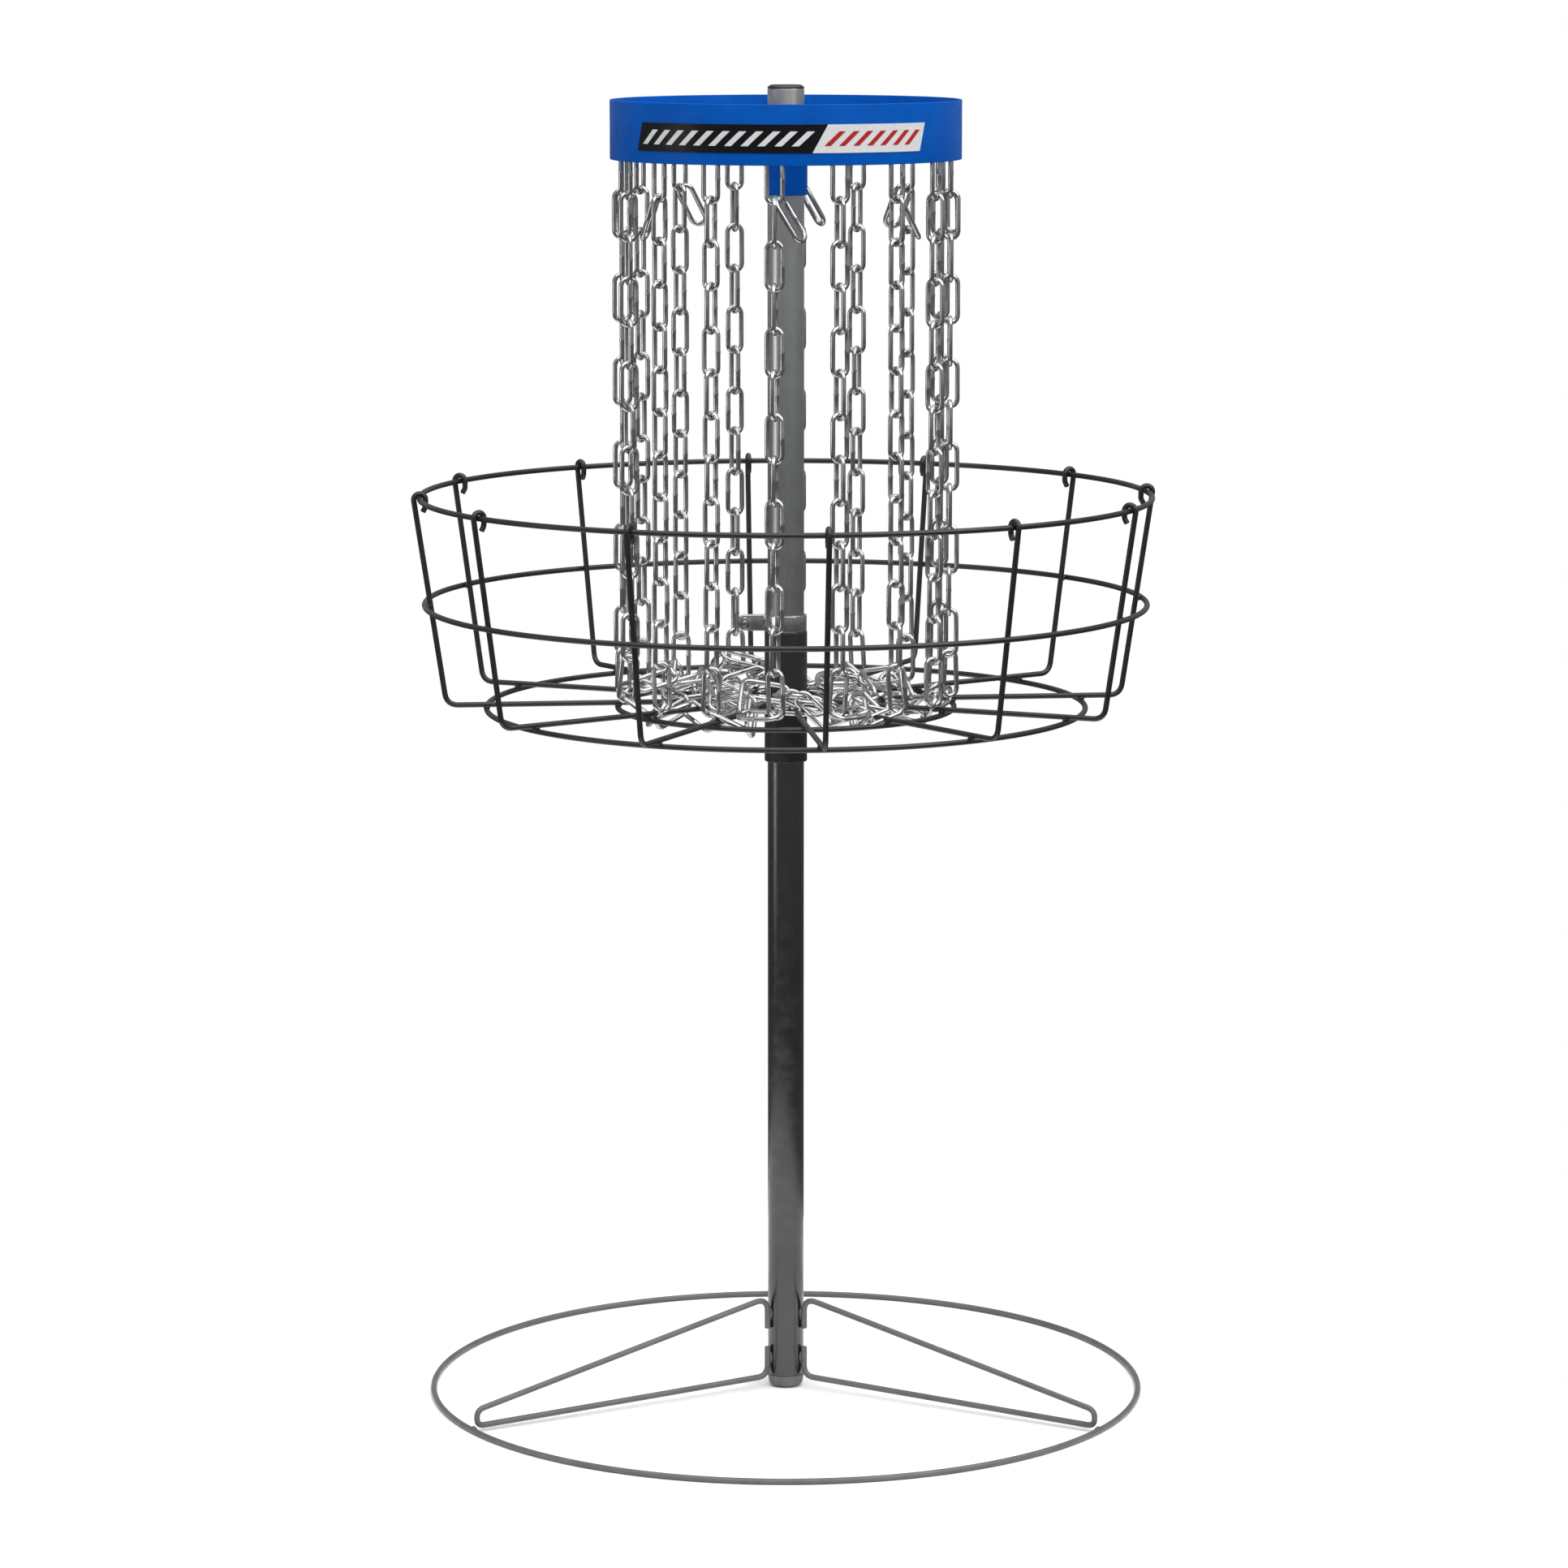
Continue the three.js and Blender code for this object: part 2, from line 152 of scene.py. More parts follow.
def grid_faces(rows, columns, closed_rows, closed_columns):
    """Four-cornered faces over points that stand in rows and columns, joined round where closed."""
    faces = []
    for row in range(rows if closed_rows else rows - 1):
        after = (row + 1) % rows
        for column in range(columns if closed_columns else columns - 1):
            beside = (column + 1) % columns
            corners = (row, column), (row, beside), (after, beside), (after, column)
            faces.append(tuple(r * columns + c for r, c in corners))
    return faces


def unit(vector):
    return vector / np.linalg.norm(vector)


def rounded(corners, radius, closed=False, steps=6):
    """The line through the corners, with each corner eased by a curve of about this radius."""
    corners = [np.asarray(corner, float) for corner in corners]
    count = len(corners)
    line = []
    for i, corner in enumerate(corners):
        if not closed and i in (0, count - 1):
            line.append(corner)
            continue
        back = corners[i - 1] - corner
        ahead = corners[(i + 1) % count] - corner
        turn = math.pi - math.acos(np.clip(unit(back) @ unit(ahead), -1, 1))
        room = 0.49 * min(np.linalg.norm(back), np.linalg.norm(ahead))
        trim = min(radius * math.tan(turn / 2), room)
        if trim < TINY:
            line.append(corner)
            continue
        start = corner + trim * unit(back)
        end = corner + trim * unit(ahead)
        for t in np.linspace(0, 1, steps + 1):
            line.append((1 - t) ** 2 * start + 2 * t * (1 - t) * corner + t**2 * end)
    return np.array(line)


def any_normal(direction):
    helper = UP if abs(direction[2]) < 0.9 else np.array([1.0, 0.0, 0.0])
    return unit(np.cross(direction, helper))


def travelling_normals(tangents):
    """A normal for each tangent that turns as little as it can on the way."""
    normals = [any_normal(tangents[0])]
    for tangent in tangents[1:]:
        carried = normals[-1] - (normals[-1] @ tangent) * tangent
        normals.append(unit(carried))
    return np.array(normals)


def tangents_of(path, closed):
    if closed:
        steps = np.roll(path, -1, axis=0) - np.roll(path, 1, axis=0)
    else:
        steps = np.gradient(path, axis=0)
    return steps / np.linalg.norm(steps, axis=1, keepdims=True)


def wire_shape(path, radius, sides=16, closed=False):
    """A round wire along a path. A wire that isn't closed has cut ends with a small chamfer."""
    path = np.asarray(path, float)
    if closed:
        tangents = tangents_of(path, True)
        radii = np.full(len(path), radius)
    else:
        chamfer = 0.2 * radius
        end_middle = 0.01 * radius
        end_edge = radius - chamfer
        first = path[0] + chamfer * unit(path[1] - path[0])
        last = path[-1] + chamfer * unit(path[-2] - path[-1])
        run = np.concatenate([[first], path[1:-1], [last]])
        run_tangents = tangents_of(run, False)
        path = np.concatenate([[path[0]] * 2, run, [path[-1]] * 2])
        tangents = np.concatenate([[run_tangents[0]] * 2, run_tangents, [run_tangents[-1]] * 2])
        radii = np.concatenate([[end_middle, end_edge], np.full(len(run), radius), [end_edge, end_middle]])
    normals = travelling_normals(tangents)
    binormals = np.cross(tangents, normals)
    turns = np.linspace(0, 2 * math.pi, sides, endpoint=False)
    cosines = np.cos(turns)[None, :, None]
    sines = np.sin(turns)[None, :, None]
    around = cosines * normals[:, None, :] + sines * binormals[:, None, :]
    points = path[:, None, :] + radii[:, None, None] * around
    return points.reshape(-1, 3), grid_faces(len(path), sides, closed, True)


def circle(radius, z, steps=192, centre=(0.0, 0.0)):
    """Points round a level circle."""
    turns = np.linspace(0, 2 * math.pi, steps, endpoint=False)
    x = centre[0] + radius * np.cos(turns)
    y = centre[1] + radius * np.sin(turns)
    return np.stack([x, y, np.full(steps, z)], axis=1)


def turned_shape(profile, closed, steps=96):
    """A profile of (radius, height) turned round the pole's axis."""
    turns = np.linspace(0, 2 * math.pi, steps, endpoint=False)
    profile = np.asarray(profile)
    x = profile[:, 0, None] * np.cos(turns)[None, :]
    y = profile[:, 0, None] * np.sin(turns)[None, :]
    z = np.repeat(profile[:, 1, None], steps, axis=1)
    points = np.stack([x, y, z], axis=2)
    return points.reshape(-1, 3), grid_faces(len(profile), steps, closed, True)


def tube_shape(outer, bore, low, high, ease=0.4 * MM, steps=96):
    """An upright tube whose edges are eased."""
    corners = [(outer, low), (outer, high), (bore, high), (bore, low)]
    return turned_shape(rounded(corners, ease, closed=True, steps=3), True, steps)


def placed(shape, origin, x_axis, y_axis, z_axis):
    """A shape moved so that its own axes lie along the given ones."""
    points, faces = shape
    return points @ np.array([x_axis, y_axis, z_axis]) + np.asarray(origin), faces


def upright(radius, z, angle):
    """The place at a distance from the pole's axis, a height and a heading."""
    return np.array([radius * math.cos(angle), radius * math.sin(angle), z])


def outward_at(angle):
    return upright(1.0, 0.0, angle)


def sideways_at(angle):
    return upright(1.0, 0.0, angle + math.pi / 2)


def bead_shape(centre, along, across, size):
    """A small weld bead: a squashed, slightly uneven lump. Its size is length, width and height."""
    length, width, height = size
    rows = 7
    columns = 12
    tilt = np.linspace(0, math.pi, rows)[:, None]
    turn = np.linspace(0, 2 * math.pi, columns, endpoint=False)[None, :]
    lumpy = 1 + 0.08 * rng.standard_normal((rows, columns))
    x = 0.5 * length * np.cos(tilt) * np.ones_like(turn)
    y = 0.5 * width * np.sin(tilt) * np.cos(turn) * lumpy
    z = 0.5 * height * np.sin(tilt) * np.sin(turn) * lumpy
    points = np.stack([x, y, z], axis=2).reshape(-1, 3)
    up = np.cross(along, across)
    return placed((points, grid_faces(rows, columns, False, True)), centre, along, across, up)


# ---------------------------------------------------------------- making pieces


def mesh_object(name, shape):
    """An object with the shape's points and faces, smooth but for its sharp edges."""
    points, faces = shape
    mesh = bpy.data.meshes.new(name)
    mesh.from_pydata(points.tolist(), [], faces)
    work = bmesh.new()
    work.from_mesh(mesh)
    bmesh.ops.remove_doubles(work, verts=work.verts, dist=TINY)
    bmesh.ops.recalc_face_normals(work, faces=work.faces)
    work.to_mesh(mesh)
    work.free()
    mesh.polygons.foreach_set("use_smooth", [True] * len(mesh.polygons))
    mesh.set_sharp_from_angle(angle=math.radians(40))
    obj = bpy.data.objects.new(name, mesh)
    bpy.context.scene.collection.objects.link(obj)
    return obj


def piece(name, shape, slot, body, nodes=(), material=None):
    """A finished piece that rides on a body and stands for the CAD nodes."""
    obj = mesh_object(name, shape)
    obj.data.materials.append(material or FINISHES[slot])
    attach(obj, body)
    if nodes:
        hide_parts(*nodes)
    return obj


# ---------------------------------------------------------------- materials

NOISE_SPAN = 0.3, 0.7               # nearly all of a noise lies between these


class Nodes:
    """A material's node tree, with short ways to add and join the nodes."""

    def __init__(self, name):
        self.material = bpy.data.materials.new(name)
        self.material.use_nodes = True
        self.tree = self.material.node_tree
        self.shader = self.tree.nodes["Principled BSDF"]
        self.place = self.tree.nodes.new("ShaderNodeTexCoord").outputs["Object"]

    def join(self, output, target):
        self.tree.links.new(output, target)

    def noise(self, scale, detail, roughness=0.55, stretch=None):
        """Noise through the object's own space; stretch scales that space along its axes."""
        node = self.tree.nodes.new("ShaderNodeTexNoise")
        node.inputs["Scale"].default_value = scale
        node.inputs["Detail"].default_value = detail
        node.inputs["Roughness"].default_value = roughness
        place = self.place
        if stretch:
            mapping = self.tree.nodes.new("ShaderNodeMapping")
            mapping.inputs["Scale"].default_value = stretch
            self.join(self.place, mapping.inputs["Vector"])
            place = mapping.outputs["Vector"]
        self.join(place, node.inputs["Vector"])
        return node.outputs["Fac"]

    def tint(self, noise, dark, light):
        """Colours the surface from dark to light with a noise."""
        node = self.tree.nodes.new("ShaderNodeValToRGB")
        for element, position, colour in zip(node.color_ramp.elements, NOISE_SPAN, (dark, light)):
            element.position = position
            element.color = (*colour, 1.0)
        self.join(noise, node.inputs["Fac"])
        self.join(node.outputs["Color"], self.shader.inputs["Base Color"])

    def spread(self, value, low, high):
        """A noise spread over low to high."""
        node = self.tree.nodes.new("ShaderNodeMapRange")
        node.inputs["From Min"].default_value = NOISE_SPAN[0]
        node.inputs["From Max"].default_value = NOISE_SPAN[1]
        node.inputs["To Min"].default_value = low
        node.inputs["To Max"].default_value = high
        self.join(value, node.inputs["Value"])
        return node.outputs["Result"]

    def bump(self, value, strength, distance, under=None):
        """A surface normal raised by a value, over another bump if one is given."""
        node = self.tree.nodes.new("ShaderNodeBump")
        node.inputs["Strength"].default_value = strength
        node.inputs["Distance"].default_value = distance
        self.join(value, node.inputs["Height"])
        if under:
            self.join(under, node.inputs["Normal"])
        return node.outputs["Normal"]


def powder_coat(name, dark, light, roughness, shine=0.5):
    """Sprayed and baked powder: a faint orange peel, and slow drifts of colour and gloss."""
    nodes = Nodes(name)
    drift = nodes.noise(scale=35, detail=4)
    nodes.tint(drift, dark, light)
    gloss = nodes.noise(scale=90, detail=2)
    nodes.join(nodes.spread(gloss, roughness - 0.05, roughness + 0.07), nodes.shader.inputs["Roughness"])
    peel = nodes.bump(nodes.noise(scale=700, detail=1.5), 0.25, 0.15 * MM)
    fine = nodes.bump(nodes.noise(scale=2600, detail=2), 0.12, 0.06 * MM, under=peel)
    nodes.join(fine, nodes.shader.inputs["Normal"])
    nodes.shader.inputs["Specular IOR Level"].default_value = shine
    return nodes.material


def zinc(name, dark, light, roughness, wear, stretch=None):
    """Zinc plate: fine draw marks, cloudy patches and small dull spots, all stronger with more wear."""
    nodes = Nodes(name)
    cloud = nodes.noise(scale=60, detail=5, roughness=0.65)
    nodes.tint(cloud, dark, light)
    marks = nodes.noise(scale=900, detail=4, stretch=stretch)
    gloss = nodes.spread(marks, roughness - 0.06 * wear, roughness + 0.1 * wear)
    nodes.join(gloss, nodes.shader.inputs["Roughness"])
    drawn = nodes.bump(marks, 0.12 * wear, 0.01 * MM)
    pitted = nodes.bump(nodes.noise(scale=1800, detail=3), 0.1, 0.01 * MM, under=drawn)
    nodes.join(pitted, nodes.shader.inputs["Normal"])
    nodes.shader.inputs["Metallic"].default_value = 1.0
    return nodes.material


def moulded_plastic(name, dark, light, roughness):
    """Moulded plastic: a fine spark-eroded grain."""
    nodes = Nodes(name)
    drift = nodes.noise(scale=140, detail=3)
    nodes.tint(drift, dark, light)
    grain = nodes.noise(scale=1500, detail=3)
    nodes.join(nodes.spread(grain, roughness - 0.06, roughness + 0.06), nodes.shader.inputs["Roughness"])
    nodes.join(nodes.bump(grain, 0.3, 0.08 * MM), nodes.shader.inputs["Normal"])
    return nodes.material


def printed_film(name, dark, light):
    """Printed vinyl film: nearly flat colour with the faint weave of the print and slow ripples."""
    nodes = Nodes(name)
    ink = nodes.noise(scale=420, detail=4)
    nodes.tint(ink, dark, light)
    ripple = nodes.noise(scale=55, detail=2)
    nodes.join(nodes.spread(ripple, 0.3, 0.42), nodes.shader.inputs["Roughness"])
    nodes.join(nodes.bump(ripple, 0.25, 0.25 * MM), nodes.shader.inputs["Normal"])
    nodes.shader.inputs["Specular IOR Level"].default_value = 0.2
    return nodes.material


ALONG_POLE = (1.0, 1.0, 0.04)       # draws the marks out along Z
FINISHES = {
    "grey_coat": powder_coat("grey_coat", (0.075, 0.080, 0.077), (0.105, 0.110, 0.106), 0.38),
    "grey_plug": moulded_plastic("grey_plug", (0.085, 0.09, 0.087), (0.12, 0.125, 0.12), 0.5),
    "black_coat": powder_coat("black_coat", (0.0085, 0.0088, 0.0084), (0.0135, 0.0138, 0.0132), 0.36, 0.5),
    "blue_coat": powder_coat("blue_coat", (0.0, 0.083, 0.425), (0.001, 0.106, 0.51), 0.42, 0.08),
    "zinc_tube": zinc("zinc_tube", (0.46, 0.465, 0.455), (0.54, 0.545, 0.535), 0.3, 0.35, ALONG_POLE),
    "bright_zinc": zinc("bright_zinc", (0.42, 0.42, 0.41), (0.59, 0.59, 0.58), 0.16, 1.0),
    "black_plastic": moulded_plastic("black_plastic", (0.012, 0.012, 0.013), (0.022, 0.022, 0.023), 0.5),
    "label_film": printed_film("label_film", (0.003, 0.003, 0.004), (0.006, 0.006, 0.007)),
}
DARK_GREY_COAT = powder_coat("dark_grey_coat", (0.0045, 0.005, 0.0042), (0.0085, 0.0092, 0.008), 0.22, 1.0)
LABEL_INKS = {
    "white": printed_film("ink_white", (0.70, 0.71, 0.72), (0.78, 0.79, 0.80)),
    "red": printed_film("ink_red", (0.42, 0.018, 0.016), (0.52, 0.028, 0.022)),
}


# ---------------------------------------------------------------- base

UPPER_TAB_Z = 54 * MM, 82 * MM      # the ends of a leg wire run up the pole between these heights
LOWER_TAB_TOP_Z = 37.4 * MM
LEG_END_Z = 19.2 * MM
LEG_BEND_R = 4 * BASE_WIRE
LEG_BEAD_Z = 67 * MM, 27 * MM
LEG_BEAD = 12 * MM, 3.4 * MM, 6.4 * MM
RING_BEAD = 9 * MM, 4 * MM, 4 * MM


def leg_path(angle):
    """One bent wire: up the pole, down to the ring, back along the floor and up the pole."""
    tab_r = POLE_R + GAP + BASE_WIRE
    ring_r = reaches("base_ring")[0] - BASE_WIRE - GAP
    corners = [
        upright(tab_r, UPPER_TAB_Z[0], angle),
        upright(tab_r, UPPER_TAB_Z[1], angle),
        upright(ring_r, LEG_END_Z, angle),
        upright(ring_r, 2 * BASE_WIRE, angle),
        upright(tab_r, 4 * BASE_WIRE, angle),
        upright(tab_r, LOWER_TAB_TOP_Z, angle),
    ]
    return rounded(corners, LEG_BEND_R, steps=10)


def leg_welds(angle):
    """Beads where a leg meets the ring and the pole."""
    outward = outward_at(angle)
    ring_spot = upright(middle_reach("base_ring") - BASE_WIRE, 1.3 * BASE_WIRE, angle)
    beads = [bead_shape(ring_spot, sideways_at(angle), outward, RING_BEAD)]
    for z in LEG_BEAD_Z:
        beads.append(bead_shape(upright(POLE_R, z, angle), UP, outward, LEG_BEAD))
    return beads


def foot_shape():
    """A plug with a rounded foot below the pole and a plain shank inside its bore."""
    seat = heights("lower_pole")[0] - GAP
    top = heights("foot_plug")[1]
    profile = [
        (0.0, 0.0),
        (0.7 * POLE_R, 0.0),
        (0.93 * POLE_R, 0.25 * seat),
        (POLE_R, 0.8 * seat),
        (POLE_R, seat),
        (BORE_R - GAP, seat),
        (BORE_R - GAP, top),
        (0.0, top),
    ]
    return turned_shape(rounded(profile, 2 * MM), False)


def add_base():
    ring = wire_shape(circle(middle_reach("base_ring"), BASE_WIRE), BASE_WIRE, closed=True)
    piece("ground_ring", ring, "grey_coat", "base", ["base_ring"])
    for name in names_of("base_leg_"):
        angle = heading(name)
        leg = merged([wire_shape(leg_path(angle), BASE_WIRE), *leg_welds(angle)])
        piece(f"wire_{name}", leg, "grey_coat", "base", [name])
    piece("foot", foot_shape(), "grey_plug", "base", ["foot_plug"])
    tube = tube_shape(POLE_R, BORE_R, *heights("lower_pole"))
    piece("pole_below", tube, "grey_coat", "base", ["lower_pole"], DARK_GREY_COAT)


# ---------------------------------------------------------------- basket

SIDE_LEAN = math.radians(8.5)
HOOK_R = 2 * WIRE + GAP
RIB_BEND_R = 12 * MM
CURL_BEND_R = 6 * MM
SLEEVE_EASE = 0.8 * MM
SLEEVE_BEAD = 3.4 * MM, WELD_WIDTH, WELD_WIDTH
RING_WELD = 5.5 * MM, WELD_WIDTH, WELD_WIDTH


def side_radius(z):
    """Radius of the ribs' leaning runs at a height."""
    start_r = RIM_R + HOOK_R * math.cos(SIDE_LEAN)
    start_z = RIM_Z - HOOK_R * math.sin(SIDE_LEAN)
    return start_r - (start_z - z) * math.tan(SIDE_LEAN)


def rib_path(angle):
    """Out from the sleeve, up the side, over the rim wire and down inside it, curling back."""
    corners = [
        upright(SLEEVE_R + GAP, FLOOR_Z, angle),
        upright(side_radius(FLOOR_Z), FLOOR_Z, angle),
        upright(side_radius(RIM_Z), RIM_Z, angle),
    ]
    run = rounded(corners, RIB_BEND_R, steps=10)[:-1]
    hook = []
    for turn in np.linspace(-SIDE_LEAN, math.pi, 20):
        hook.append(upright(RIM_R + HOOK_R * math.cos(turn), RIM_Z + HOOK_R * math.sin(turn), angle))
    curl = rounded([
        hook[-1],
        upright(RIM_R - HOOK_R, RIM_Z - 1.2 * HOOK_R, angle),
        upright(RIM_R - 0.5 * HOOK_R, RIM_Z - 2.1 * HOOK_R, angle),
    ], CURL_BEND_R)[1:]
    return np.concatenate([run, hook, curl])


def rib_welds(angle):
    """Beads where a rib meets the sleeve, the two floor rings and the middle ring."""
    under = FLOOR_Z - WIRE - 0.5 * GAP
    middle = middle_z("middle_ring")
    middle_weld_r = (side_radius(middle) + middle_reach("middle_ring")) / 2
    ring_spots = [
        upright(middle_reach("floor_ring"), under, angle),
        upright(middle_reach("inner_floor_ring"), under, angle),
        upright(middle_weld_r, middle, angle),
    ]
    beads = [bead_shape(upright(SLEEVE_R, FLOOR_Z, angle), outward_at(angle), UP, SLEEVE_BEAD)]
    for spot in ring_spots:
        beads.append(bead_shape(spot, sideways_at(angle), UP, RING_WELD))
    return beads


def add_basket():
    """Four rings, twelve ribs that hook over the rim, the sleeve and the stop inside it."""
    for name in ("rim_ring", "middle_ring", "floor_ring", "inner_floor_ring"):
        ring = wire_shape(circle(middle_reach(name), middle_z(name)), WIRE, closed=True)
        piece(f"wire_{name}", ring, "black_coat", "basket", [name])
    for name in names_of("basket_rib_"):
        angle = heading(name)
        shapes = [wire_shape(rib_path(angle), WIRE), *rib_welds(angle)]
        piece(f"wire_{name}", merged(shapes), "black_coat", "basket", [name])

    sleeve = tube_shape(SLEEVE_R, SLEEVE_BORE_R, *heights("basket_sleeve"), SLEEVE_EASE)
    piece("sleeve", sleeve, "black_coat", "basket", ["basket_sleeve"])
    inner, outer = reaches("sleeve_stop")
    stop = tube_shape(outer, inner, *heights("sleeve_stop"))
    piece("stop_ring", stop, "black_coat", "basket", ["sleeve_stop"])


# ---------------------------------------------------------------- upper pole, cap and clamp


def hex_shape(flats, height, bore=0.0):
    """A hexagon about +Z from 0 to height, a corner on Y, its top chamfered; a bore makes it a nut."""
    turns = np.linspace(0, 2 * math.pi, 72, endpoint=False)
    from_flat = (turns + math.pi / 6) % (math.pi / 3) - math.pi / 6
    edge = 0.5 * flats / np.cos(from_flat)
    inner = np.full_like(turns, bore)
    chamfer_r = 0.485 * flats
    chamfer_slope = math.tan(math.radians(30))
    bore_chamfer = 0.5 * MM
    level = np.zeros_like(turns)

    rows = [(inner, level), (edge, level)]
    for share in (1.0, 0.99, 0.9, 0.7):
        drop = np.maximum(0, share * edge - chamfer_r) * chamfer_slope
        rows.append((share * edge, height - drop))
    if bore:
        rows.append((inner + bore_chamfer, height + level))
        rows.append((inner, height - bore_chamfer + level))
    else:
        rows.append((inner, height + level))
    points = [np.stack([r * np.cos(turns), r * np.sin(turns), z], axis=1) for r, z in rows]
    return np.concatenate(points), grid_faces(len(rows), len(turns), bool(bore), True)


def thread_shape(radius, length):
    """A threaded shank along +Z with a chamfered end."""
    pitch = 1 * MM
    depth = 0.45 * MM
    chamfer = 1 * MM
    chamfer_length = 1.2 * MM
    turns = np.linspace(0, 2 * math.pi, 32, endpoint=False)
    levels = np.arange(0, length, pitch / 6)
    z, turn = np.meshgrid(levels, turns, indexing="ij")
    phase = (z / pitch - turn / (2 * math.pi)) % 1
    groove = depth * np.abs(2 * phase - 1)
    from_end = np.clip((length - z) / chamfer_length, 0.0, 1.0)
    r = np.minimum(radius - groove, radius - chamfer + from_end * chamfer)
    middle = np.zeros((1, len(turns)))
    r = np.concatenate([middle, r, middle])
    z = np.concatenate([middle, z, middle + levels[-1]])
    turn = np.concatenate([turn[:1], turn, turn[:1]])
    points = np.stack([r * np.cos(turn), r * np.sin(turn), z], axis=2).reshape(-1, 3)
    return points, grid_faces(len(levels) + 2, len(turns), False, True)


def pointing(shape, origin, direction):
    """Stands a shape made along +Z at a place, pointing another way."""
    direction = unit(np.asarray(direction, float))
    x_axis = any_normal(direction)
    return placed(shape, origin, x_axis, np.cross(direction, x_axis), direction)


def bolt_shape(node):
    """A bolt in a CAD bolt's place: it lies along Y, its hexagon head towards +Y."""
    low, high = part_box(node)
    middle = (low + high) / 2
    under_head = (middle.x, high.y - HEAD_HEIGHT, middle.z)
    shank = thread_shape(BOLT_R, high.y - low.y - HEAD_HEIGHT)
    head = hex_shape(high.x - low.x, HEAD_HEIGHT)
    return merged([pointing(shank, under_head, (0, -1, 0)), pointing(head, under_head, (0, 1, 0))])


def nut_shape(node):
    low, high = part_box(node)
    middle = (low + high) / 2
    nut = hex_shape(high.x - low.x, high.y - low.y, BOLT_R + 0.1 * MM)
    return pointing(nut, (middle.x, high.y, middle.z), (0, -1, 0))


EAR_Y = 2 * MM                      # from the pole's middle plane to the inner face of each ear
EAR_BEND = 2 * MM
EAR_SHOULDER = 3 * MM               # the ears narrow from here outwards
STRIP_EASE = 0.5 * MM


def clamp_line(inner, ear_end_x):
    """The strip's inner face seen from above: in along one ear, round the pole and out along the other."""
    bend_turn = math.pi - math.asin((EAR_Y + EAR_BEND) / inner)
    turns = np.linspace(-bend_turn, bend_turn, 72)
    round_part = [(inner * math.cos(turn), inner * math.sin(turn), 0.0) for turn in turns]
    ear = [(x, EAR_Y, 0.0) for x in np.linspace(-inner - EAR_BEND, ear_end_x, 14)]
    other_ear = [(x, -y, z) for x, y, z in reversed(ear)]
    return np.array(other_ear + round_part + ear)


def strip_half_height(x, full_half, shoulder_x, bolt_x, end_r):
    """Full round the pole, narrowing along the ears, and rounded about the bolt at their ends."""
    least = 0.06 * end_r
    if x < bolt_x:
        return math.sqrt(max(end_r**2 - (bolt_x - x) ** 2, least**2))
    if x < shoulder_x:
        return end_r + (full_half - end_r) * (x - bolt_x) / (shoulder_x - bolt_x)
    return full_half


def clamp_strip():
    """A strip bent round the pole and out into two ears with round ends, which the bolt passes through."""
    low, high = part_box("clamp_band")
    nut_low, nut_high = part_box("clamp_nut")
    inner = POLE_R + GAP
    thickness = high.x - inner
    bolt_x = (nut_low.x + nut_high.x) / 2
    full_half = (high.z - low.z) / 2
    middle = (low.z + high.z) / 2
    line = clamp_line(inner, low.x)
    tangents = tangents_of(line, False)
    outward = np.stack([tangents[:, 1], -tangents[:, 0], 0 * tangents[:, 0]], axis=1)
    rows = []
    for point, out in zip(line, outward):
        half = strip_half_height(point[0], full_half, -inner - EAR_SHOULDER, bolt_x, bolt_x - low.x)
        corners = [(0, -half, 0), (thickness, -half, 0), (thickness, half, 0), (0, half, 0)]
        section = rounded(corners, STRIP_EASE, closed=True, steps=3)
        rows.append([point + out * across + UP * (middle + z) for across, z, _ in section])
    points = np.array(rows)
    count, around = points.shape[:2]
    faces = grid_faces(count, around, False, True)
    faces.append(tuple(range(around)))
    faces.append(tuple((count - 1) * around + k for k in range(around)))
    return points.reshape(-1, 3), faces


def cap_shape():
    """A low dome that sits on the pole's end, with a plain shank inside its bore."""
    bottom, top = heights("pole_cap")
    seat = heights("upper_pole")[1] + GAP
    profile = [
        (0.0, bottom),
        (BORE_R - GAP, bottom),
        (BORE_R - GAP, seat),
        (POLE_R, seat),
        (POLE_R, seat + 0.4 * (top - seat)),
        (0.82 * POLE_R, top),
        (0.0, top),
    ]
    return turned_shape(rounded(profile, 1.6 * MM), False)


def add_pole():
    tube = tube_shape(POLE_R, BORE_R, *heights("upper_pole"))
    piece("pole_above", tube, "zinc_tube", "pole", ["upper_pole"])
    piece("cap", cap_shape(), "black_plastic", "pole", ["pole_cap"])
    piece("clamp", clamp_strip(), "bright_zinc", "pole", ["clamp_band"])
    piece("bolt", bolt_shape("clamp_bolt"), "bright_zinc", "pole", ["clamp_bolt"])
    piece("nut", nut_shape("clamp_nut"), "bright_zinc", "nut", ["clamp_nut"])


# ---------------------------------------------------------------- top


ROD_BEND_R = 5 * MM
ROD_BEAD = 3.4 * MM, 6.4 * MM, 6.4 * MM
BAND_EASE = 0.7 * MM
FILM = 0.12 * MM
FIELD_FILM = 0.4 * MM               # the label's two fields, which lie just under the film of its bars
FIELD_DROP = 0.1 * MM
LABEL_SLANT = math.radians(5)
DARK_FIELD_SHARE = 0.63
BAR_HALF_WIDTH = 0.22               # of the step from bar to bar
BAR_MARGIN = 0.24                   # of the label's height, above and below the bars


def rod_path(start):
    """One wire: out from the hub, along the inside of the band, and back to the hub."""
    hub_r = SLEEVE_R + GAP
    outer_r = reaches("top_band")[0] - 2 * GAP - WIRE
    along_band = [upright(outer_r, ROD_Z, start + share * STRAND_STEP) for share in np.linspace(0, 1, 9)]
    corners = [upright(hub_r, ROD_Z, start), *along_band, upright(hub_r, ROD_Z, start + STRAND_STEP)]
    return rounded(corners, ROD_BEND_R)


